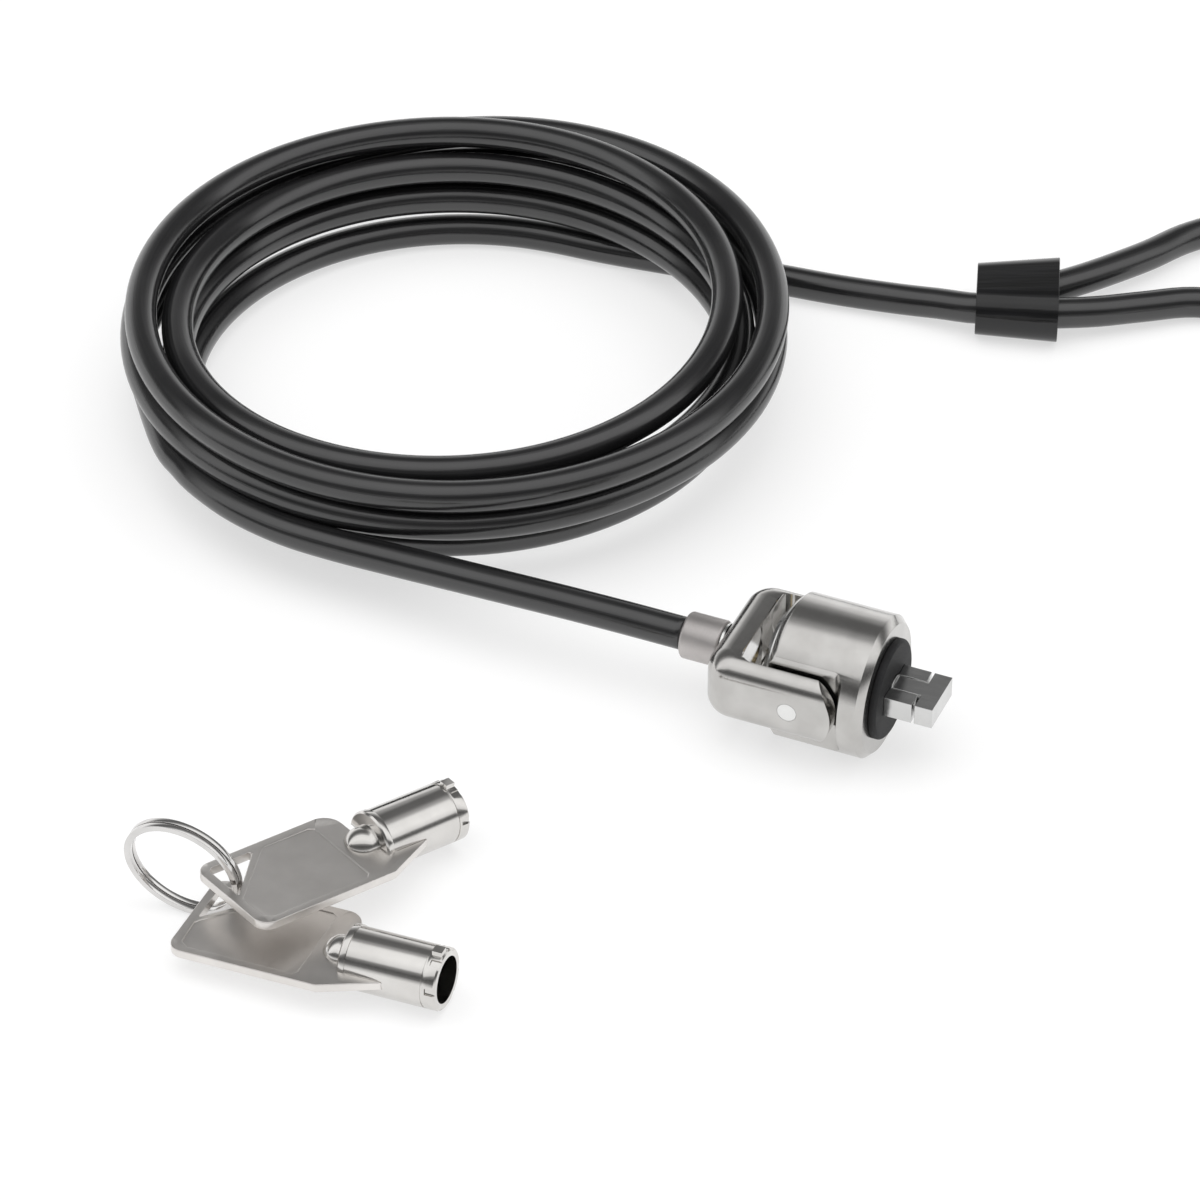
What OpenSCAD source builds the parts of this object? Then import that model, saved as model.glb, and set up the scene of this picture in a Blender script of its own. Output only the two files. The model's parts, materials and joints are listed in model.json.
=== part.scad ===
// Laptop cable lock: T-bar lock head on a pivoting yoke, swivel stud, coated
// steel cable with a loop end, and two tubular keys on a split ring.
// Millimetres. +X runs along the lock towards the T-bar, +Z is up, and the
// origin is the centre of the rubber bumper's front face.

/* [Lock body] */
// Radius of the cylindrical lock body
body_r = 8.85; // [8.7:0.05:9.0]
// Distance between the two side flats that the yoke's arms run on
flat_w = 13.2; // [13.0:0.1:13.3]
// Size of the chamfer on the front edge
front_chamfer = 0.85; // [0.6:0.05:1.0]
// Radius of the rubber bumper
bumper_r = 6.2; // [5.8:0.1:6.6]

/* [T-bar] */
// Width of the T-bar head, which goes through a 7 x 3 mm security slot
tee_w = 6.8; // [6.4:0.1:6.9]
// Thickness of the T-bar head and of the two prongs
tee_t = 2.7; // [2.6:0.1:2.8]
// Length of the T-bar head along the lock
tee_l = 2.25; // [2.0:0.05:2.6]
// Reach of the two fixed prongs past the bumper
prong_reach = 3.5; // [3.2:0.1:3.6]

/* [Yoke and swivel] */
// Outer width of the yoke across its arms
yoke_w = 18.1; // [17.8:0.1:18.4]
// Height of the yoke
yoke_h = 9; // [8.8:0.1:9.2]
// Diameter of the two pivot pins
pivot_d = 2.4; // [2.0:0.1:2.6]
// Diameter of the ferrule on the cable's end
ferrule_d = 5.8; // [5.4:0.1:6.2]

/* [Cable] */
// Diameter of the coated cable
cable_d = 4.1; // [3.9:0.1:4.1]
// Radius of the coil's inner turns, at the cable's centre
coil_r = 36; // [36:0.5:36.5]

/* [Keys] */
// Diameter of the tubular key's barrel
key_d = 7.4; // [7.3:0.05:7.5]
// Bore of the key's barrel
key_bore_d = 5.6; // [5.5:0.1:5.7]
// Width of the key's flat bow
bow_w = 13.6; // [13.4:0.1:13.8]
// Thickness of the key's flat bow
bow_t = 1.1; // [1.0:0.1:1.2]
// Outer diameter of the split ring
ring_d = 14.5; // [14.4:0.1:14.6]

/* [Hidden] */
$fn = 64;

// Places along the lock's axis, from the front to the back
bumper_t = 0.9;
front_x = -bumper_t;
shoulder_x = -3.9;
shoulder_r = 1.2;
pivot_x = -10.1;
rear_x = -13.5;
rear_chamfer = 0.9;
collar_x = -14.6;
collar_r = 6.8;
bridge_in_x = -17.2;
bridge_out_x = -21.3;
ferrule_end_x = -26.7;
stud_end_x = bridge_out_x - 3;
// The body's underside is cut flat so that the yoke's bridge swings past it
under_z = -6.8;
floor_z = -body_r;
slip = 0.05;

// Lock core
core_bore_r = 5.0;
core_r = 4.97;
sleeve_front_x = -6.6;
throat_r = 3.85;
throat_x = -12.0;
chamber_r = 4.45;
shear_x = -9.2;
post_r = 2.65;
spindle_r = 1.6;
spindle_square = 2.2;
pin_count = 7;
pin_circle_r = 3.2;
pin_r = 0.45;
pin_hole_r = 0.5;
spring_x = -8.2;
pin_hole_end_x = -7.0;
key_notch_w = 1.4;
post_notch_w = 1.0;
post_notch_depth = 0.8;
set_pin_x = -7.9;
set_pin_top_z = -2.9;
set_pin_r = 0.6;
// How far each key pin stands out into the keyway
bitting = [0.35, 0.0, 0.7, 0.35, 1.05, 0.0, 0.7];

// T-bar
tee_x = prong_reach + 0.35;
stem_w = 2.5;
tail_r = 1.9;
tail_x = -6.4;
flange_r = 3.2;
flange_t = 1.0;
socket_l = 1.9;
washer_t = 0.35;
prong_hole_r = 1.95;
plate_x = -4.95;
slot_gap = 0.1;

// Yoke
arm_in = 7.05;
arm_end_r = 5.45;
corner_r = 3.4;
inner_corner_r = 1.8;
edge_r = 2.7;
scoop_r = 8.2;
scoop_wall = 0.45;
pivot_pin_l = 3.8;
pivot_washer_r = 3.2;
swivel_washer_t = 0.3;
stud_head_r = 3.4;
stud_head_x = -18.4;
stud_head_t = 0.8;
stud_r = 1.6;
rope_hole_r = 1.3;

// Coil and cable, measured up from the floor where a height is named
coil_x = -77;
coil_y = 43.9;
coil_step = cable_d;
coil_h = 19.2;
cable_sides = 10;
lead_route = [
    [-26.7, 0, 0], [-34, 0, 0], [-42, 0, -0.1], [-50, 0, -0.3],
    [-58, 0.1, -0.6], [-66, 0.2, -0.9], [-74, 0.3, -1.1], [-81, 0.8, -1.2],
    [-88, 2.4, -1.2], [-94, 5, -1.2]
];
tail_route = [
    [-20.8, 85.3, -5.4], [-26.5, 85, -6], [-32, 84.7, -6.6], [-40, 83.7, -6.8],
    [-48, 82.9, -6.8], [-56, 82.1, -6.8], [-60, 81.6, -6.8]
];
loop_route = [
    [-13.2, 93.4, -5.1], [-9.6, 98.6, -5.5], [-5, 106.4, -6.1], [-1, 114.2, -6.6],
    [6, 121.5, -6.8], [17, 127, -6.8], [30, 131, -6.8], [45, 132, -6.8],
    [60, 130, -6.8], [76, 124.5, -6.8], [89, 114, -6.8], [97, 100, -6.8],
    [99, 84, -6.8], [95, 68, -6.8], [85, 56, -6.8], [71, 51, -6.8],
    [57, 54, -6.8], [46.5, 63.5, -6.8], [38, 77, -6.8], [29, 90, -6.8],
    [19.5, 98.6, -6.8], [11.5, 101.2, -6.8], [4.2, 99.6, -6.6], [-1.5, 95.2, -6.1],
    [-6.5, 91.2, -5.7], [-11.4, 88.2, -5.4]
];
sleeve_at = [-22, 87.4, -5.5];
sleeve_yaw = 19;
sleeve_l = 10.8;
// Width and height of the sleeve at its two ends, and how much the big end stands higher
sleeve_small = [11.6, 6.6];
sleeve_big = [14, 7.4];
sleeve_rise = 0.4;
// The crimp inside it, and the height of its middle on the sleeve's axis
crimp_size = [9.8, 4.8];
crimp_z = 0.1;
crimp_inset = 0.6;

// Keys: the bow's end is x = 0, the barrel's axis is X
key_l = 31.9;
bow_l = 18.7;
bow_end_x = 19.2;
wing_l = 26.2;
barrel_x = 19.9;
barrel_bore_l = 8.5;
tongue_x = 21.2;
dome_x = 16.7;
dome_r = 2.3;
lug_w = 1.2;
lug_l = 1.2;
ring_w = 0.8;
ring_t = 1.4;
ring_at = [-63.35, -61.2, -1.15];
ring_lean = 98.7;
key_a_at = [-56.1, -64.2, -1.3];
key_a_turn = [-2, 5.5, 62];
key_b_at = [-61.2, -63.8, -5.7];
key_b_turn = [-2, -2, 1.2];

STEEL = [0.80, 0.79, 0.77];
SATIN = [0.66, 0.63, 0.60];
RUBBER = [0.12, 0.12, 0.12];
VINYL = [0.17, 0.17, 0.18];
BRASS = [0.78, 0.62, 0.32];

// ---------- helpers ----------

// Cylinder of radius r from x = a to x = b
module rod_x(r, a, b) {
    translate([a, 0, 0])
        rotate([0, 90, 0])
            cylinder(r = r, h = b - a);
}

// Solid of revolution about X from an outline of [x, radius] points
module turned_x(outline) {
    rotate([0, 90, 0])
        rotate([0, 0, 180])
            rotate_extrude()
                polygon([for (p = outline) [p[1], p[0]]]);
}

// Block with its x range stated and centred on Y and Z
module block_x(a, b, w, h) {
    translate([a, -w / 2, -h / 2])
        cube([b - a, w, h]);
}

// Rectangle with round corners, made of true arcs
module round_rect(w, h, r) {
    square([w - 2 * r, h], center = true);
    square([w, h - 2 * r], center = true);
    for (sx = [-1, 1], sy = [-1, 1])
        translate([sx * (w / 2 - r), sy * (h / 2 - r)])
            circle(r);
}

// Places its children on the pin circle of the tubular core
module on_pin_circle() {
    for (i = [0 : pin_count - 1])
        rotate([90 + i * 360 / pin_count, 0, 0])
            translate([0, pin_circle_r, 0])
                children();
}

function unit(v) = v / norm(v);
function last(list) = list[len(list) - 1];

// Catmull-Rom point between p[i] and p[i + 1]
function spline_at(p, i, t) =
    let (a = p[max(i - 1, 0)], b = p[i], c = p[i + 1], d = p[min(i + 2, len(p) - 1)])
    0.5 * (2 * b + (c - a) * t + (2 * a - 5 * b + 4 * c - d) * t * t
        + (3 * b - a - 3 * c + d) * t * t * t);

// The route with steps points for each of its stretches
function smooth(p, steps) = concat(
    [for (i = [0 : len(p) - 2], s = [0 : steps - 1]) spline_at(p, i, s / steps)],
    [last(p)]
);

// Round tube swept along a route that never stands upright
module tube(route, d) {
    n = len(route);
    m = cable_sides;
    points = [
        for (i = [0 : n - 1])
            let (
                t = unit(route[min(i + 1, n - 1)] - route[max(i - 1, 0)]),
                side = unit(cross(t, [0, 0, 1])),
                up = cross(side, t)
            )
            for (k = [0 : m - 1])
                route[i] + d / 2 * (cos(360 * k / m) * side + sin(360 * k / m) * up)
    ];
    walls = [
        for (i = [0 : n - 2], k = [0 : m - 1])
            let (a = i * m + k, b = i * m + (k + 1) % m)
            each [[a, a + m, b], [b, a + m, b + m]]
    ];
    near_end = [[for (k = [0 : m - 1]) k]];
    far_end = [[for (k = [m - 1 : -1 : 0]) (n - 1) * m + k]];
    polyhedron(points, concat(walls, near_end, far_end));
}

// ---------- lock body ----------

module body_blank() {
    turned_x([
        [rear_x, 0], [rear_x, body_r - rear_chamfer],
        [rear_x + rear_chamfer, body_r], [front_x - front_chamfer, body_r],
        [front_x, body_r - front_chamfer], [front_x, 0]
    ]);
}

// Section of the opening that the prongs and the stem pass through
module nose_opening(a, b, gap) {
    rod_x(prong_hole_r, a, b);
    block_x(a, b, tee_w + 2 * gap, tee_t + 2 * gap);
}

module pivot_holes() {
    translate([pivot_x, 0, 0])
        rotate([90, 0, 0])
            cylinder(d = pivot_d + 0.06, h = 2 * yoke_w, center = true);
}

// Takes one flat off the body, with a round shoulder at its front end
module side_cut() {
    depth = 4;
    translate([0, 0, -body_r - 1])
        linear_extrude(2 * body_r + 2) {
            translate([rear_x - 1, flat_w / 2])
                square([shoulder_x - shoulder_r - rear_x + 1, depth]);
            translate([rear_x - 1, flat_w / 2 + shoulder_r])
                square([shoulder_x - rear_x + 1, depth]);
            translate([shoulder_x - shoulder_r, flat_w / 2 + shoulder_r])
                circle(shoulder_r);
        }
}

module lock_body() {
    below = 5;
    color(STEEL)
        difference() {
            body_blank();
            for (s = [-1, 1])
                scale([1, s, 1])
                    side_cut();
            translate([rear_x - 1, -body_r, under_z - below])
                cube([shoulder_x - rear_x + 1, 2 * body_r, below]);
            rod_x(core_bore_r, rear_x - 1, shoulder_x);
            nose_opening(shoulder_x - 1, 0, slot_gap);
            pivot_holes();
            core_pin_hole();
        }
}

module bumper_pad() {
    rim = 0.3;
    color(RUBBER)
        difference() {
            turned_x([
                [front_x, 0], [front_x, bumper_r],
                [-rim, bumper_r], [0, bumper_r - rim], [0, 0]
            ]);
            nose_opening(front_x - 1, 1, slot_gap);
        }
}

// Plate inside the nose with the two fixed prongs that stop the lock turning
module slot_prongs() {
    color(STEEL)
        difference() {
            union() {
                rod_x(core_r - slip, plate_x, shoulder_x - slip);
                block_x(plate_x, prong_reach, tee_w, tee_t);
            }
            rod_x(prong_hole_r, plate_x - 1, prong_reach + 1);
        }
}

module thrust_washer() {
    color(BRASS)
        difference() {
            rod_x(flange_r, plate_x - slip - washer_t, plate_x - slip);
            rod_x(prong_hole_r, plate_x - 1, plate_x + 1);
        }
}

module t_bar() {
    color(STEEL)
        difference() {
            union() {
                rod_x(tail_r, tail_x, 0.2);
                rod_x(flange_r, tail_x, tail_x + flange_t);
                block_x(0, tee_x + 0.1, stem_w, tee_t);
                block_x(tee_x, tee_x + tee_l, tee_w, tee_t);
            }
            block_x(tail_x - 1, tail_x + socket_l, spindle_square + slip, spindle_square + slip);
        }
}

// ---------- lock core ----------

module core_sleeve() {
    rim = 0.6;
    color(STEEL)
        difference() {
            turned_x([
                [collar_x, 0], [collar_x, collar_r - rim],
                [collar_x + rim, collar_r], [rear_x, collar_r],
                [rear_x, core_r], [sleeve_front_x, core_r], [sleeve_front_x, 0]
            ]);
            rod_x(throat_r, collar_x - 1, throat_x + 1);
            rod_x(chamber_r, throat_x, sleeve_front_x + 1);
            // notch that the key's lug passes through
            translate([collar_x - 1, -key_notch_w / 2, 0])
                cube([2.2, key_notch_w, throat_r + 0.75]);
            core_pin_hole();
        }
}

module core_rotor() {
    disc_end_x = shear_x - slip;
    color(BRASS)
        difference() {
            union() {
                rod_x(post_r, collar_x + 0.3, throat_x + 1);
                rod_x(chamber_r - slip, throat_x + slip, disc_end_x);
                rod_x(spindle_r, disc_end_x - 1, sleeve_front_x + 0.2);
                block_x(sleeve_front_x, tail_x + socket_l - 0.1, spindle_square, spindle_square);
            }
            on_pin_circle()
                rod_x(pin_hole_r, throat_x - 1, shear_x);
            // notch in the post that sets the key's angle
            translate([collar_x - 1, -post_notch_w / 2, post_r - post_notch_depth])
                cube([3.4, post_notch_w, 2 * post_notch_depth]);
        }
}

module key_pins() {
    color(STEEL)
        for (i = [0 : pin_count - 1])
            rotate([90 + i * 360 / pin_count, 0, 0])
                translate([0, pin_circle_r, 0])
                    rod_x(pin_r, throat_x - bitting[i], shear_x - slip);
}

module pin_block() {
    color(BRASS)
        difference() {
            rod_x(chamber_r - slip / 2, shear_x, sleeve_front_x);
            rod_x(spindle_r + slip, shear_x - 1, sleeve_front_x + 1);
            on_pin_circle()
                rod_x(pin_hole_r, shear_x - 1, pin_hole_end_x);
            core_pin_hole();
        }
}

module driver_pins() {
    color(STEEL)
        on_pin_circle()
            rod_x(pin_r, shear_x, spring_x);
}

// Small springs wound close: each turn just meets the next
module pin_springs() {
    wire_r = 0.11;
    turns = 6;
    length = pin_hole_end_x - spring_x - 2 * slip;
    step = (length - 2 * wire_r) / (turns - 1);
    color(SATIN)
        on_pin_circle()
            translate([spring_x + slip, 0, 0])
                rotate([0, 90, 0])
                    rotate_extrude()
                        for (i = [0 : turns - 1])
                            translate([pin_r - wire_r, wire_r + i * step])
                                circle(wire_r, $fn = 24);
}

// The pin that locks the core into the body runs up from the underside
module core_pin(r, low_z) {
    translate([set_pin_x, 0, low_z])
        cylinder(r = r, h = set_pin_top_z - low_z);
}

module core_pin_hole() {
    core_pin(set_pin_r + 0.02, -body_r - 1);
}

module core_set_pin() {
    color(STEEL)
        core_pin(set_pin_r, under_z + slip);
}

// ---------- yoke and swivel ----------

// Section through the yoke's rim, from its outer face at 0 inwards
module rim_section() {
    intersection() {
        translate([corner_r, 0])
            round_rect(2 * corner_r, yoke_h, edge_r);
        translate([0, -yoke_h / 2])
            square([corner_r, yoke_h]);
    }
}

// The yoke before it is opened up: arms, bridge and two turned corners
module yoke_blank() {
    half_w = yoke_w / 2;
    corner_x = bridge_out_x + corner_r;
    translate([corner_x, 0, 0])
        rotate([90, 0, 90])
            linear_extrude(pivot_x + arm_end_r - corner_x)
                round_rect(yoke_w, yoke_h, edge_r);
    translate([bridge_out_x, half_w - corner_r, 0])
        rotate([90, 0, 0])
            linear_extrude(yoke_w - 2 * corner_r)
                rim_section();
    for (s = [-1, 1])
        translate([corner_x, s * (half_w - corner_r), 0])
            rotate_extrude()
                translate([corner_r, 0])
                    mirror([1, 0])
                        rim_section();
}

// Outline of the space between the arms, seen from above
module yoke_opening() {
    l = pivot_x + arm_end_r + 1 - bridge_in_x;
    translate([bridge_in_x + inner_corner_r, -arm_in])
        square([l, 2 * arm_in]);
    translate([bridge_in_x, -arm_in + inner_corner_r])
        square([l, 2 * (arm_in - inner_corner_r)]);
    for (s = [-1, 1])
        translate([bridge_in_x + inner_corner_r, s * (arm_in - inner_corner_r)])
            circle(inner_corner_r);
}

// Side view of what the yoke keeps: everything behind the pivot, round in front
module yoke_side() {
    translate([pivot_x, 0])
        circle(arm_end_r);
    translate([bridge_out_x - 1, -yoke_h])
        square([pivot_x - bridge_out_x + 1, 2 * yoke_h]);
}

module yoke() {
    color(STEEL)
        difference() {
            intersection() {
                yoke_blank();
                translate([0, yoke_w, 0])
                    rotate([90, 0, 0])
                        linear_extrude(2 * yoke_w)
                            yoke_side();
            }
            translate([0, 0, -yoke_h])
                linear_extrude(2 * yoke_h)
                    yoke_opening();
            // hollow that the body's back end swings through
            translate([pivot_x, 0, 0])
                rotate([90, 0, 0])
                    cylinder(r = scoop_r, h = 2 * (arm_in - scoop_wall), center = true);
            rod_x(stud_head_r + 0.15, stud_head_x - stud_head_t - 0.1, bridge_in_x);
            rod_x(stud_r + slip, bridge_out_x - 1, bridge_in_x);
            pivot_holes();
        }
}

module pivot_pins() {
    color(SATIN)
        for (s = [-1, 1])
            translate([pivot_x, s * (yoke_w - pivot_pin_l) / 2, 0])
                rotate([90, 0, 0])
                    cylinder(d = pivot_d, h = pivot_pin_l, center = true);
}

module pivot_washers() {
    gap = arm_in - flat_w / 2;
    color(STEEL)
        for (s = [-1, 1])
            translate([pivot_x, s * (flat_w / 2 + gap / 2), 0])
                rotate([90, 0, 0])
                    difference() {
                        cylinder(r = pivot_washer_r, h = gap - 2 * slip, center = true);
                        cylinder(d = pivot_d + 0.2, h = 1, center = true);
                    }
}

module swivel_stud() {
    color(SATIN)
        union() {
            rod_x(stud_head_r, stud_head_x - stud_head_t, stud_head_x);
            rod_x(stud_r, stud_end_x, stud_head_x - stud_head_t + 0.1);
        }
}

module swivel_washer() {
    color(STEEL)
        difference() {
            rod_x(ferrule_d / 2 - 0.2, bridge_out_x - slip - swivel_washer_t, bridge_out_x - slip);
            rod_x(stud_r + slip, bridge_out_x - 1, bridge_out_x + 1);
        }
}

module ferrule() {
    rim = 0.25;
    front = bridge_out_x - swivel_washer_t - 2 * slip;
    r = ferrule_d / 2;
    color(SATIN)
        difference() {
            turned_x([
                [ferrule_end_x, 0], [ferrule_end_x, r - rim],
                [ferrule_end_x + rim, r], [front - rim, r], [front, r - rim], [front, 0]
            ]);
            rod_x(stud_r, stud_end_x, bridge_out_x);
            rod_x(rope_hole_r, ferrule_end_x - 1, stud_end_x);
        }
}

// The bare steel rope inside the ferrule, with six strands round a seventh
module rope_end() {
    strand_r = 0.43;
    front = stud_end_x - slip;
    color(SATIN) {
        rod_x(strand_r, ferrule_end_x, front);
        for (i = [0 : 5])
            rotate([i * 60, 0, 0])
                translate([0, 2 * strand_r, 0])
                    rod_x(strand_r - 0.01, ferrule_end_x, front);
    }
}

// ---------- cable ----------

module cable_lead() {
    color(VINYL)
        tube(lead_route, cable_d);
}

module cable_coil() {
    in_r = coil_r - cable_d / 2;
    out_r = coil_r + coil_step + cable_d / 2;
    color(VINYL)
        translate([coil_x, coil_y, floor_z])
            rotate_extrude($fn = 96)
                translate([in_r, 0])
                    square([out_r - in_r, coil_h]);
}

module cable_tail() {
    color(VINYL)
        tube(tail_route, cable_d);
}

module cable_loop() {
    color(VINYL)
        tube(smooth(loop_route, 2), cable_d);
}

// Puts its children on the sleeve's own axis, with X along the cable
module at_sleeve() {
    translate(sleeve_at)
        rotate([0, 0, sleeve_yaw])
            children();
}

// Upright section with round ends, drawn in the plane across the cable
module oval(w, h) {
    square([w - h, h], center = true);
    for (s = [-1, 1])
        translate([s * (w - h) / 2, 0])
            circle(h / 2);
}

module loop_crimp() {
    color(SATIN)
        at_sleeve()
            translate([crimp_inset, 0, crimp_z])
                rotate([90, 0, 90])
                    linear_extrude(sleeve_l - 2 * crimp_inset)
                        oval(crimp_size[0], crimp_size[1]);
}

module loop_sleeve() {
    skin = 0.1;
    fit = 0.1;
    color(VINYL)
        at_sleeve()
            difference() {
                hull() {
                    rotate([90, 0, 90])
                        linear_extrude(skin)
                            oval(sleeve_small[0], sleeve_small[1], $fn = 32);
                    translate([sleeve_l - skin, 0, sleeve_rise])
                        rotate([90, 0, 90])
                            linear_extrude(skin)
                                oval(sleeve_big[0], sleeve_big[1], $fn = 32);
                }
                translate([-1, 0, crimp_z])
                    rotate([90, 0, 90])
                        linear_extrude(sleeve_l + 2)
                            oval(crimp_size[0] + fit, crimp_size[1] + fit);
            }
}

// ---------- keys ----------

module bow_outline() {
    corner = 1.8;
    half = bow_w / 2;
    wing = key_d / 2 - 0.3;
    shoulder = 2.4;
    // one side runs out along the barrel, the other ends in a round shoulder
    polygon([
        [corner, -half], [bow_l, -half], [wing_l, -wing], [wing_l, 0],
        [bow_end_x, 0], [bow_end_x, half - shoulder], [bow_end_x - shoulder, half - shoulder],
        [bow_end_x - shoulder, half], [corner, half]
    ]);
    translate([bow_end_x - shoulder, half - shoulder])
        circle(shoulder);
    translate([0, -half + corner])
        square([bow_end_x - shoulder, bow_w - 2 * corner]);
    for (s = [-1, 1])
        translate([corner, s * (half - corner)])
            circle(corner);
}

// Triangular eye in the corner of the bow, for the split ring
module bow_eye() {
    polygon([
        [1.1, 5.2], [1.6, 5.7], [6.9, 5.7], [7.2, 5.4], [1.3, -0.3], [1.1, -0.2]
    ]);
}

// Sunk panel on each face of the bow
module bow_panel() {
    polygon([
        [9.2, 5.7], [15.3, 5.7], [15.9, 5.2], [15.9, -5.3], [15.4, -5.8],
        [2.2, -5.8], [1.3, -5.1], [1.1, -1.4], [1.4, -0.9], [8.6, 5.5]
    ]);
}

module key_bow() {
    sink = 0.12;
    color(STEEL)
        difference() {
            translate([0, 0, -bow_t / 2])
                linear_extrude(bow_t)
                    bow_outline();
            translate([0, 0, -bow_t])
                linear_extrude(2 * bow_t)
                    bow_eye();
            for (z = [-bow_t / 2 - 1 + sink, bow_t / 2 - sink])
                translate([0, 0, z])
                    linear_extrude(1)
                        bow_panel();
            rod_x(key_d / 2 + 0.02, tongue_x, key_l);
        }
}

module key_tube() {
    r = key_d / 2;
    collar_l = 0.9;
    collar_proud = 0.12;
    tip_band_l = 1.5;
    tip_cut_w = 0.8;
    tip_cut_l = 1.2;
    tip_cut_depth = 0.35;
    tip_cuts = [25, 80, 145, 205, 260, 325];
    color(STEEL)
        difference() {
            union() {
                rotate([0, 90, 0])
                    translate([0, 0, dome_x + dome_r])
                        sphere(dome_r);
                rod_x(dome_r, dome_x + dome_r, barrel_x + 0.1);
                turned_x([
                    [barrel_x, 0], [barrel_x, r - 0.1],
                    [barrel_x + 0.2, r + collar_proud],
                    [barrel_x + collar_l, r + collar_proud], [barrel_x + collar_l, r],
                    [key_l - 0.2, r], [key_l, r - 0.2], [key_l, 0]
                ]);
                // lug that the lock's notch lets in
                translate([key_l - lug_l - 0.2, -lug_w / 2, r - 0.5])
                    cube([lug_l, lug_w, 1.0]);
            }
            rod_x(key_bore_d / 2, key_l - barrel_bore_l, key_l + 1);
            translate([dome_x - 1, -r - 1, -bow_t / 2 - 0.01])
                cube([tongue_x - dome_x + 1, 2 * r + 2, bow_t + 0.02]);
            // shallow groove behind the tip band
            difference() {
                rod_x(r + 1, key_l - tip_band_l - 0.25, key_l - tip_band_l);
                rod_x(r - 0.1, key_l - tip_band_l - 1, key_l);
            }
            for (turn = tip_cuts)
                rotate([turn, 0, 0])
                    translate([key_l - tip_cut_l, -tip_cut_w / 2, r - tip_cut_depth])
                        cube([2, tip_cut_w, 1]);
        }
}

module at_key_a() {
    translate(key_a_at)
        rotate(key_a_turn)
            children();
}

module at_key_b() {
    translate(key_b_at)
        rotate(key_b_turn)
            children();
}

module key_bow_a() {
    at_key_a()
        key_bow();
}

module key_tube_a() {
    at_key_a()
        key_tube();
}

module key_bow_b() {
    at_key_b()
        key_bow();
}

module key_tube_b() {
    at_key_b()
        key_tube();
}

// Two turns of flat wire that touch only over a short stretch
module split_ring() {
    gap = 0.16;
    turn_t = (ring_t - gap) / 2;
    inner_r = ring_d / 2 - ring_w;
    color(STEEL)
        translate(ring_at)
            rotate([ring_lean, 0, 0])
                union() {
                    for (z = [-ring_t / 2, gap / 2])
                        translate([0, 0, z])
                            rotate_extrude($fn = 96)
                                translate([inner_r, 0])
                                    square([ring_w, turn_t]);
                    // where the wire passes from one turn to the next
                    rotate([0, 0, 170])
                        translate([inner_r + 0.2, -1.5, -gap / 2 - 0.1])
                            cube([ring_w - 0.4, 3, gap + 0.2]);
                }
}

lock_body();
bumper_pad();
slot_prongs();
thrust_washer();
t_bar();
core_sleeve();
core_rotor();
key_pins();
pin_block();
driver_pins();
pin_springs();
core_set_pin();
yoke();
pivot_pins();
pivot_washers();
swivel_stud();
swivel_washer();
ferrule();
rope_end();
cable_lead();
cable_coil();
cable_tail();
cable_loop();
loop_crimp();
loop_sleeve();
split_ring();
key_bow_a();
key_tube_a();
key_bow_b();
key_tube_b();
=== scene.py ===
"""Laptop cable lock: the looks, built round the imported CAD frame. Metres, +Z up."""
import json
import math

import bmesh
import bpy
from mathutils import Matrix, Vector


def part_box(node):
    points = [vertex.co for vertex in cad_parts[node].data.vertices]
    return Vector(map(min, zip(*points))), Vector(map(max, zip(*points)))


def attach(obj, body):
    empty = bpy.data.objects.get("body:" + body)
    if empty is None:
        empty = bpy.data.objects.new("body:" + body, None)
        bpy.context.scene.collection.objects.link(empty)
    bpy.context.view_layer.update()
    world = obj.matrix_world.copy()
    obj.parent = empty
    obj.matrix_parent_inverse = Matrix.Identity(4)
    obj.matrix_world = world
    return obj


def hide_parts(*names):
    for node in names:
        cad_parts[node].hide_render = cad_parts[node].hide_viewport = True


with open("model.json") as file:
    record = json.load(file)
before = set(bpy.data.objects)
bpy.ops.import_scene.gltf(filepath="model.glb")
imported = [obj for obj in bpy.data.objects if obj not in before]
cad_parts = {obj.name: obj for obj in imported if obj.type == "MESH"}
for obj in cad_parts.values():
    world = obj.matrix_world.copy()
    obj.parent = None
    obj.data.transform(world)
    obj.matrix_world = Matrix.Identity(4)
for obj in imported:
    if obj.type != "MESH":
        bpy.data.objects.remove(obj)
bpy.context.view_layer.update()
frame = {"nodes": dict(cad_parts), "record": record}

MM = 0.001
UP = Vector((0, 0, 1))
FLOOR_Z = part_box("cable_coil")[0].z


# ---------------------------------------------------------------- camera

CAMERA_AZIMUTH = math.radians(23.56)
CAMERA_ELEVATION = math.radians(38.06)
CAMERA_AIM = Vector((-0.04341, 0.01230, FLOOR_Z))
CAMERA_DISTANCE = 0.6805


def make_camera():
    data = bpy.data.cameras.new("camera")
    data.sensor_width = 36
    data.lens = 165
    data.clip_start = 0.01
    data.clip_end = 20
    camera = bpy.data.objects.new("camera", data)
    back = Vector((
        math.sin(CAMERA_AZIMUTH) * math.cos(CAMERA_ELEVATION),
        -math.cos(CAMERA_AZIMUTH) * math.cos(CAMERA_ELEVATION),
        math.sin(CAMERA_ELEVATION),
    ))
    camera.location = CAMERA_AIM + back * CAMERA_DISTANCE
    camera.rotation_euler = (math.pi / 2 - CAMERA_ELEVATION, 0, CAMERA_AZIMUTH)
    bpy.context.scene.collection.objects.link(camera)
    bpy.context.scene.camera = camera


# ---------------------------------------------------------------- node helpers

def new_material(name):
    """An empty node material with a Principled shader; gives the material, its nodes and links."""
    material = bpy.data.materials.new(name)
    material.use_nodes = True
    tree = material.node_tree
    return material, tree.nodes, tree.links, tree.nodes["Principled BSDF"]


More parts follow.
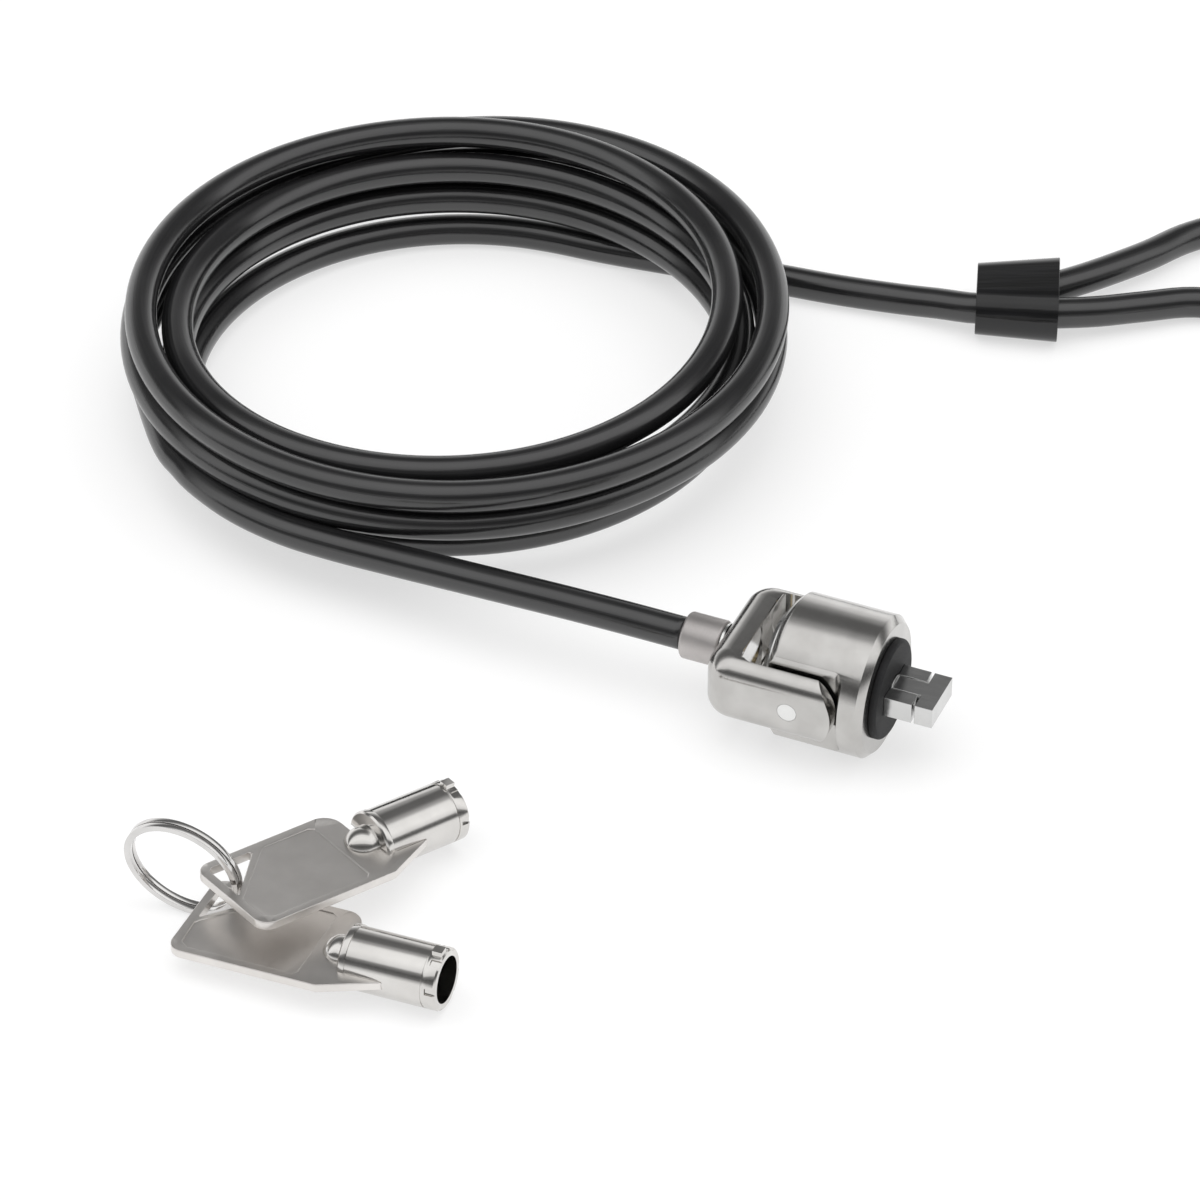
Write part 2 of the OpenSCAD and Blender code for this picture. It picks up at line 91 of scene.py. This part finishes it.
def object_coordinates(nodes, links, scale=(1, 1, 1)):
    """Object coordinates, stretched by scale."""
    coordinate = nodes.new("ShaderNodeTexCoord")
    mapping = nodes.new("ShaderNodeMapping")
    mapping.inputs["Scale"].default_value = scale
    links.new(coordinate.outputs["Object"], mapping.inputs["Vector"])
    return mapping.outputs["Vector"]


def noise(nodes, links, vector, scale, detail=3.0, roughness=0.5):
    """Noise of that many features per metre."""
    node = nodes.new("ShaderNodeTexNoise")
    node.inputs["Scale"].default_value = scale
    node.inputs["Detail"].default_value = detail
    node.inputs["Roughness"].default_value = roughness
    links.new(vector, node.inputs["Vector"])
    return node.outputs["Fac"]


def remap(nodes, links, value, low, high, from_low=0.3, from_high=0.7):
    """The value's range from_low..from_high, taken to low..high."""
    node = nodes.new("ShaderNodeMapRange")
    node.inputs["From Min"].default_value = from_low
    node.inputs["From Max"].default_value = from_high
    node.inputs["To Min"].default_value = low
    node.inputs["To Max"].default_value = high
    links.new(value, node.inputs["Value"])
    return node.outputs["Result"]


def mix_colours(nodes, links, factor, dark, light):
    """Colour between dark and light by factor."""
    node = nodes.new("ShaderNodeMix")
    node.data_type = "RGBA"
    node.inputs["A"].default_value = (*dark, 1)
    node.inputs["B"].default_value = (*light, 1)
    links.new(factor, node.inputs["Factor"])
    return node.outputs["Result"]


def bump(nodes, links, height, distance):
    """Bump of that many metres for a height from 0 to 1."""
    node = nodes.new("ShaderNodeBump")
    node.inputs["Distance"].default_value = distance
    node.inputs["Strength"].default_value = 1.0
    links.new(height, node.inputs["Height"])
    return node.outputs["Normal"]


# ---------------------------------------------------------------- materials

# Direction of the loop sleeve's axis, which its flow marks follow
SLEEVE_YAW = math.radians(19)
FLOW_STRETCH = 14
# Drawn lines on the cable: how many round it, and how many to each unit of its UV map along it
LINES_ROUND = 46
LINES_ALONG = 5
UV_PER_METRE = 10


def metal(name, dark, light, rough, grain=4200, grain_depth=0.9e-6, stretch=(1, 1, 1)):
    """Plated or machined metal: cloudy tone, and a fine grain, stretched for a brushed look."""
    material, nodes, links, shader = new_material(name)
    shader.inputs["Metallic"].default_value = 1.0
    plain = object_coordinates(nodes, links)
    cloudy = noise(nodes, links, plain, 260, detail=4)
    tone = remap(nodes, links, cloudy, 0, 1)
    links.new(mix_colours(nodes, links, tone, dark, light), shader.inputs["Base Color"])
    drawn = object_coordinates(nodes, links, stretch)
    grainy = noise(nodes, links, drawn, grain, detail=3, roughness=0.6)
    links.new(remap(nodes, links, grainy, rough[0], rough[1]), shader.inputs["Roughness"])
    links.new(bump(nodes, links, grainy, grain_depth), shader.inputs["Normal"])
    return material


def rubber(name):
    """Matte moulded rubber with a fine spark-eroded texture."""
    material, nodes, links, shader = new_material(name)
    plain = object_coordinates(nodes, links)
    dusty = remap(nodes, links, noise(nodes, links, plain, 400, detail=5), 0, 1)
    colour = mix_colours(nodes, links, dusty, (0.005, 0.005, 0.0055), (0.010, 0.010, 0.011))
    links.new(colour, shader.inputs["Base Color"])
    pitted = noise(nodes, links, plain, 6000, detail=2)
    links.new(remap(nodes, links, pitted, 0.55, 0.75), shader.inputs["Roughness"])
    links.new(bump(nodes, links, pitted, 6e-6), shader.inputs["Normal"])
    shader.inputs["Specular IOR Level"].default_value = 0.4
    return material


def cable_vinyl(name):
    """Glossy charcoal coating with drawn lines along the cable, placed by the piece's own UV map."""
    material, nodes, links, shader = new_material(name)
    plain = object_coordinates(nodes, links)
    uv = nodes.new("ShaderNodeUVMap")
    uv.uv_map = "length"
    drawn = nodes.new("ShaderNodeMapping")
    drawn.inputs["Scale"].default_value = (LINES_ROUND, LINES_ALONG, 1)
    links.new(uv.outputs["UV"], drawn.inputs["Vector"])
    lines = noise(nodes, links, drawn.outputs["Vector"], 1.0, detail=4, roughness=0.6)
    clouds = remap(nodes, links, noise(nodes, links, plain, 120, detail=3), 0, 1)
    colour = mix_colours(nodes, links, clouds, (0.008, 0.008, 0.0085), (0.013, 0.013, 0.0135))
    links.new(colour, shader.inputs["Base Color"])
    links.new(remap(nodes, links, lines, 0.12, 0.26), shader.inputs["Roughness"])
    links.new(bump(nodes, links, lines, 16e-6), shader.inputs["Normal"])
    shader.inputs["IOR"].default_value = 1.75
    return material


def gloss_black(name):
    """Polished black moulding with flow marks along the sleeve's axis."""
    material, nodes, links, shader = new_material(name)
    coordinate = nodes.new("ShaderNodeTexCoord")
    along = nodes.new("ShaderNodeMapping")
    along.vector_type = "TEXTURE"
    along.inputs["Rotation"].default_value = (0, 0, SLEEVE_YAW)
    along.inputs["Scale"].default_value = (FLOW_STRETCH, 1, 1)
    links.new(coordinate.outputs["Object"], along.inputs["Vector"])
    flow = noise(nodes, links, along.outputs["Vector"], 900, detail=3)
    tone = remap(nodes, links, flow, 0, 1)
    colour = mix_colours(nodes, links, tone, (0.004, 0.004, 0.004), (0.008, 0.008, 0.009))
    links.new(colour, shader.inputs["Base Color"])
    links.new(remap(nodes, links, flow, 0.05, 0.12), shader.inputs["Roughness"])
    links.new(bump(nodes, links, flow, 22e-6), shader.inputs["Normal"])
    return material


def studio_floor(name):
    """Plain pale floor with a faint tone change."""
    material, nodes, links, shader = new_material(name)
    plain = object_coordinates(nodes, links)
    tone = remap(nodes, links, noise(nodes, links, plain, 3, detail=2), 0, 1)
    colour = mix_colours(nodes, links, tone, (0.40, 0.40, 0.40), (0.42, 0.42, 0.42))
    links.new(colour, shader.inputs["Base Color"])
    shader.inputs["Roughness"].default_value = 0.9
    shader.inputs["Specular IOR Level"].default_value = 0.1
    shader.inputs["Emission Color"].default_value = (1, 1, 1, 1)
    shader.inputs["Emission Strength"].default_value = 0.60
    return material


def make_materials():
    """One material for each of the record's material slots."""
    return {
        "body_chrome": metal("body_chrome", (0.49, 0.48, 0.465), (0.57, 0.56, 0.545), (0.13, 0.21),
                             grain=5200, grain_depth=1.5e-6),
        "tool_steel": metal("tool_steel", (0.58, 0.58, 0.575), (0.65, 0.65, 0.645), (0.18, 0.26),
                            stretch=(0.1, 1, 1)),
        "pin_steel": metal("pin_steel", (0.72, 0.72, 0.71), (0.78, 0.78, 0.77), (0.12, 0.18)),
        "core_brass": metal("core_brass", (0.70, 0.54, 0.26), (0.78, 0.62, 0.32), (0.22, 0.34)),
        "satin_nickel": metal("satin_nickel", (0.50, 0.475, 0.465), (0.56, 0.535, 0.525), (0.42, 0.52)),
        "ring_steel": metal("ring_steel", (0.64, 0.63, 0.62), (0.72, 0.71, 0.70), (0.08, 0.14)),
        "key_nickel": metal("key_nickel", (0.62, 0.605, 0.585), (0.70, 0.685, 0.665), (0.10, 0.17)),
        "key_satin": metal("key_satin", (0.70, 0.675, 0.65), (0.78, 0.755, 0.73), (0.30, 0.40),
                           grain_depth=1.5e-6, stretch=(1, 0.15, 1)),
        "bumper_rubber": rubber("bumper_rubber"),
        "cable_vinyl": cable_vinyl("cable_vinyl"),
        "sleeve_plastic": gloss_black("sleeve_plastic"),
    }


# ---------------------------------------------------------------- mesh helpers

def new_piece(name, mesh, body, slot):
    """Puts a mesh in the scene as a visible piece that moves with the body and wears the slot's material."""
    piece = bpy.data.objects.new(name, mesh)
    bpy.context.scene.collection.objects.link(piece)
    piece.data.materials.append(MATERIALS[slot])
    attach(piece, body)
    return piece


def smooth_route(points, step):
    """Catmull-Rom curve through the points, with a point about every step."""
    made = []
    for i in range(len(points) - 1):
        a = points[max(i - 1, 0)]
        b = points[i]
        c = points[i + 1]
        d = points[min(i + 2, len(points) - 1)]
        count = max(1, round((c - b).length / step))
        for k in range(count):
            t = k / count
            made.append(0.5 * (2 * b + (c - a) * t + (2 * a - 5 * b + 4 * c - d) * t * t
                               + (3 * b - a - 3 * c + d) * t * t * t))
    made.append(points[-1])
    return made


# ---------------------------------------------------------------- cable

CABLE_D = 4.1 * MM
RING_STEP = 1.5 * MM
RING_SIDES = 28

LEAD_ROUTE = [
    (-0.0267, 0, 0), (-0.034, 0, 0), (-0.042, 0, -0.0001), (-0.050, 0, -0.0003),
    (-0.058, 0.0001, -0.0006), (-0.066, 0.0002, -0.0009), (-0.074, 0.0003, -0.0011),
    (-0.081, 0.0008, -0.0012), (-0.088, 0.0024, -0.0012), (-0.094, 0.005, -0.0012),
    (-0.098, 0.0075, -0.0012), (-0.1035, 0.0123, -0.0012),
]
TAIL_ROUTE = [
    (-0.072, 0.0803, -0.0068), (-0.064, 0.0812, -0.0068), (-0.060, 0.0816, -0.0068),
    (-0.056, 0.0821, -0.0068), (-0.048, 0.0829, -0.0068), (-0.040, 0.0837, -0.0068),
    (-0.032, 0.0847, -0.0066), (-0.0265, 0.085, -0.0060), (-0.0208, 0.0853, -0.0054),
]
LOOP_ROUTE = [
    (-0.0132, 0.0934, -0.0051), (-0.0096, 0.0986, -0.0055), (-0.005, 0.1064, -0.0061),
    (-0.001, 0.1142, -0.0066), (0.006, 0.1215, -0.0068), (0.017, 0.127, -0.0068),
    (0.030, 0.131, -0.0068), (0.045, 0.132, -0.0068), (0.060, 0.130, -0.0068),
    (0.076, 0.1245, -0.0068), (0.089, 0.114, -0.0068), (0.097, 0.100, -0.0068),
    (0.099, 0.084, -0.0068), (0.095, 0.068, -0.0068), (0.085, 0.056, -0.0068),
    (0.071, 0.051, -0.0068), (0.057, 0.054, -0.0068), (0.0465, 0.0635, -0.0068),
    (0.038, 0.077, -0.0068), (0.029, 0.090, -0.0068), (0.0195, 0.0986, -0.0068),
    (0.0115, 0.1012, -0.0068), (0.0042, 0.0996, -0.0066), (-0.0015, 0.0952, -0.0061),
    (-0.0065, 0.0912, -0.0057), (-0.0114, 0.0882, -0.0054),
]
# Inside the sleeve: where the cable turns into the loop, and where its end lies
SLEEVE_IN = [(-0.0175, 0.0878, -0.0053), (-0.0156, 0.0905, -0.0052)]
SLEEVE_END = [(-0.0140, 0.0872, -0.0054), (-0.0152, 0.0868, -0.0054)]

# Stations on the coil: turned through degrees, radius and height above the floor in mm. It climbs
# inside for nearly three turns, leans in, crosses over the top and comes down outside.
COIL_STATIONS = [
    (92, 36, 2.05), (113, 36, 2.05), (165, 35.2, 2.8), (200, 35.3, 3.2), (250, 36, 3.9),
    (473, 36.2, 7.05), (833, 36, 12), (960, 36, 13.6), (1005, 35.1, 14.1), (1050, 34.3, 14.7),
    (1095, 34.2, 15.7), (1140, 35.6, 16.4), (1180, 37.6, 16.4), (1215, 39.2, 15.9), (1245, 40.2, 15.9),
    (1280, 40.5, 15.8), (1310, 40.8, 15.3), (1340, 40.9, 15), (1365, 40.8, 14.7), (1465, 40.2, 15),
    (1500, 41.3, 15.3), (1530, 41.9, 14.8), (1550, 41.9, 14.1), (1575, 41.8, 12.7), (1605, 41.6, 12),
    (1640, 41.4, 11.7), (1670, 41.2, 11.1), (1700, 40.8, 10.7), (1725, 40.3, 10.1), (1770, 40.1, 10.5),
    (1825, 40.2, 10.5), (1890, 41, 10.4), (1935, 41.2, 8.7), (1965, 41.3, 7.9), (2003, 41.4, 7.65),
]
# Degrees between the points of the coil, and offsets that blend the stations' corners away
COIL_STEP = 9
COIL_BLEND = (-16, -8, 0, 8, 16)


def station_at(angle):
    """Radius and height on the straight line between the two stations next to that angle."""
    first, last = COIL_STATIONS[0], COIL_STATIONS[-1]
    angle = min(max(angle, first[0]), last[0])
    for a, b in zip(COIL_STATIONS, COIL_STATIONS[1:]):
        if angle <= b[0]:
            t = (angle - a[0]) / (b[0] - a[0])
            return a[1] + (b[1] - a[1]) * t, a[2] + (b[2] - a[2]) * t


def coil_point(angle, centre):
    """Point on the coil at that angle in degrees, with the stations' corners blended away."""
    near = [station_at(angle + turn) for turn in COIL_BLEND]
    radius = sum(n[0] for n in near) / len(near) * MM
    height = sum(n[1] for n in near) / len(near) * MM
    turn = math.radians(angle)
    return centre + Vector((radius * math.cos(turn), radius * math.sin(turn), height))


def cable_path():
    """The cable's centre line, from the ferrule round the coil to its end inside the sleeve."""
    low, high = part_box("cable_coil")
    centre = Vector(((low.x + high.x) / 2, (low.y + high.y) / 2, FLOOR_Z))
    start, end = COIL_STATIONS[0][0], COIL_STATIONS[-1][0]
    coil = [coil_point(angle, centre) for angle in range(end, start - 1, -COIL_STEP)]
    route = [Vector(p) for p in LEAD_ROUTE]
    route += coil
    for part in (TAIL_ROUTE, SLEEVE_IN, LOOP_ROUTE, SLEEVE_END):
        route += [Vector(p) for p in part]
    return smooth_route(route, RING_STEP)


def tube_mesh(name, path, radius, sides):
    """Closed round tube along a path that never stands upright.

    Its UV map holds turns round the tube and tenths of a metre along it.
    """
    bm = bmesh.new()
    layer = bm.loops.layers.uv.new("length")
    rings = []
    run = [0.0]
    for i, point in enumerate(path):
        along = (path[min(i + 1, len(path) - 1)] - path[max(i - 1, 0)]).normalized()
        side = along.cross(UP).normalized()
        up = side.cross(along)
        ring = []
        for k in range(sides):
            turn = 2 * math.pi * k / sides
            ring.append(bm.verts.new(point + radius * (math.cos(turn) * side + math.sin(turn) * up)))
        rings.append(ring)
        if i:
            run.append(run[-1] + (point - path[i - 1]).length)
    for i in range(len(rings) - 1):
        for k in range(sides):
            n = (k + 1) % sides
            face = bm.faces.new((rings[i][k], rings[i + 1][k], rings[i + 1][n], rings[i][n]))
            face.smooth = True
            corners = ((k, i), (k, i + 1), (k + 1, i + 1), (k + 1, i))
            for loop, (round_k, along_i) in zip(face.loops, corners):
                loop[layer].uv = (round_k / sides, run[along_i] * UV_PER_METRE)
    bm.faces.new(rings[0])
    bm.faces.new(reversed(rings[-1]))
    bmesh.ops.recalc_face_normals(bm, faces=bm.faces)
    mesh = bpy.data.meshes.new(name)
    bm.to_mesh(mesh)
    bm.free()
    return mesh


def make_cable():
    """The whole coated cable as one piece, in place of its four plain CAD solids."""
    path = cable_path()
    mesh = tube_mesh("coated_cable", path, CABLE_D / 2, RING_SIDES)
    cable = new_piece("coated_cable", mesh, "cable", "cable_vinyl")
    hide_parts("cable_lead", "cable_coil", "cable_tail", "cable_loop")


# ---------------------------------------------------------------- CAD nodes

EDGE_ANGLE = math.radians(28)
WELD_DISTANCE = 1e-6
# Width in mm of the rounding on each node's edges
SOFT_EDGES = {
    "lock_body": 0.18, "yoke": 0.22, "bumper_pad": 0.12, "slot_prongs": 0.08,
    "t_bar": 0.08, "ferrule": 0.1, "pivot_pins": 0.08,
    "split_ring": 0.1, "key_bow_a": 0.12, "key_bow_b": 0.12,
    "key_tube_a": 0.1, "key_tube_b": 0.1, "loop_sleeve": 0.5,
}
PLAIN_EDGES = ("core_sleeve", "core_rotor", "key_pins", "swivel_stud", "swivel_washer", "rope_end")


def smooth_and_weld(node):
    """Smooth shading over a CAD node's corners, welded by a modifier that leaves its mesh as it is."""
    piece = frame["nodes"][node]
    piece.data.shade_smooth()
    weld = piece.modifiers.new("weld", "WELD")
    weld.merge_threshold = WELD_DISTANCE
    return piece


def soften_edges(node, width):
    """Rounds a CAD node's sharp edges."""
    piece = smooth_and_weld(node)
    bevel = piece.modifiers.new("edges", "BEVEL")
    bevel.width = width
    bevel.segments = 2
    bevel.limit_method = "ANGLE"
    bevel.angle_limit = EDGE_ANGLE
    bevel.use_clamp_overlap = True
    normals = piece.modifiers.new("normals", "WEIGHTED_NORMAL")
    normals.keep_sharp = False
    normals.weight = 100


def keep_edges(node):
    """Keeps a CAD node's edges sharp, with smooth shading between them."""
    piece = smooth_and_weld(node)
    split = piece.modifiers.new("sharp", "EDGE_SPLIT")
    split.split_angle = EDGE_ANGLE


def dress_cad_nodes():
    """Gives every CAD node its slot's material, and rounds or keeps its edges."""
    slots = {part["node"]: part["material_slot"] for part in frame["record"]["subparts"]}
    for name, piece in frame["nodes"].items():
        piece.data.materials.clear()
        piece.data.materials.append(MATERIALS[slots[name]])
    for name, width in SOFT_EDGES.items():
        soften_edges(name, width * MM)
    for name in PLAIN_EDGES:
        keep_edges(name)


# ---------------------------------------------------------------- studio

FLOOR_SIZE = 3.0
# Brightness of the surroundings by angle in degrees: 0 is the horizon on the camera's side, 90 is
# overhead and 180 is the far horizon
SKY_BANDS = [
    (0, 1.0), (10, 0.6), (18, 0.18), (32, 0.11), (46, 0.26), (54, 1.0), (80, 1.2),
    (102, 1.15), (112, 0.45), (124, 0.16), (140, 0.15), (152, 0.40), (164, 0.95), (178, 1.25),
]
# Name, place, width and height, and power in watts
LIGHTS = [
    ("overhead", (-0.15, 0.10, 0.9), (1.3, 1.3), 5.0),
    ("front", (0.5, -0.9, 0.8), (1.0, 1.0), 2.2),
]
LIGHT_AIM = (-0.04, 0.02, 0)


def make_floor():
    bm = bmesh.new()
    bmesh.ops.create_grid(bm, x_segments=2, y_segments=2, size=FLOOR_SIZE)
    mesh = bpy.data.meshes.new("floor")
    bm.to_mesh(mesh)
    bm.free()
    floor = bpy.data.objects.new("floor", mesh)
    floor.location = (0, 0, FLOOR_Z)
    floor.data.materials.append(studio_floor("floor"))
    bpy.context.scene.collection.objects.link(floor)


def make_world():
    """Studio surroundings: bands that run across the view, dark above the horizon and bright overhead."""
    world = bpy.data.worlds.new("studio")
    bpy.context.scene.world = world
    world.use_nodes = True
    nodes, links = world.node_tree.nodes, world.node_tree.links
    background = nodes["Background"]
    coordinate = nodes.new("ShaderNodeTexCoord")
    turn = nodes.new("ShaderNodeVectorRotate")
    turn.rotation_type = "Z_AXIS"
    turn.inputs["Angle"].default_value = -CAMERA_AZIMUTH
    links.new(coordinate.outputs["Generated"], turn.inputs["Vector"])
    split = nodes.new("ShaderNodeSeparateXYZ")
    links.new(turn.outputs["Vector"], split.inputs["Vector"])
    flip = nodes.new("ShaderNodeMath")
    flip.operation = "MULTIPLY"
    flip.inputs[1].default_value = -1
    links.new(split.outputs["Y"], flip.inputs[0])
    angle = nodes.new("ShaderNodeMath")
    angle.operation = "ARCTAN2"
    links.new(split.outputs["Z"], angle.inputs[0])
    links.new(flip.outputs[0], angle.inputs[1])
    share = nodes.new("ShaderNodeMath")
    share.operation = "DIVIDE"
    share.inputs[1].default_value = math.pi
    links.new(angle.outputs[0], share.inputs[0])
    ramp = nodes.new("ShaderNodeValToRGB")
    ramp.color_ramp.interpolation = "EASE"
    stops = ramp.color_ramp.elements
    stops[0].position, stops[1].position = 0, SKY_BANDS[-1][0] / 180
    for degrees, _ in SKY_BANDS[1:-1]:
        stops.new(degrees / 180)
    for stop, (degrees, level) in zip(stops, SKY_BANDS):
        stop.color = (level, level, level, 1)
    links.new(share.outputs[0], ramp.inputs["Fac"])
    links.new(ramp.outputs["Color"], background.inputs["Color"])
    background.inputs["Strength"].default_value = 1.0


def make_light(name, place, size, power):
    """Soft area light that fills the shadows and isn't mirrored in the metal."""
    data = bpy.data.lights.new(name, "AREA")
    data.shape = "RECTANGLE"
    data.size, data.size_y = size
    data.energy = power
    light = bpy.data.objects.new(name, data)
    light.location = place
    light.rotation_euler = (Vector(LIGHT_AIM) - Vector(place)).to_track_quat("-Z", "Y").to_euler()
    light.visible_glossy = False
    bpy.context.scene.collection.objects.link(light)


def make_studio():
    make_floor()
    make_world()
    for light in LIGHTS:
        make_light(*light)
    bpy.context.scene.view_settings.view_transform = "Standard"


# ---------------------------------------------------------------- the whole

make_camera()
MATERIALS = make_materials()
make_cable()
dress_cad_nodes()
make_studio()
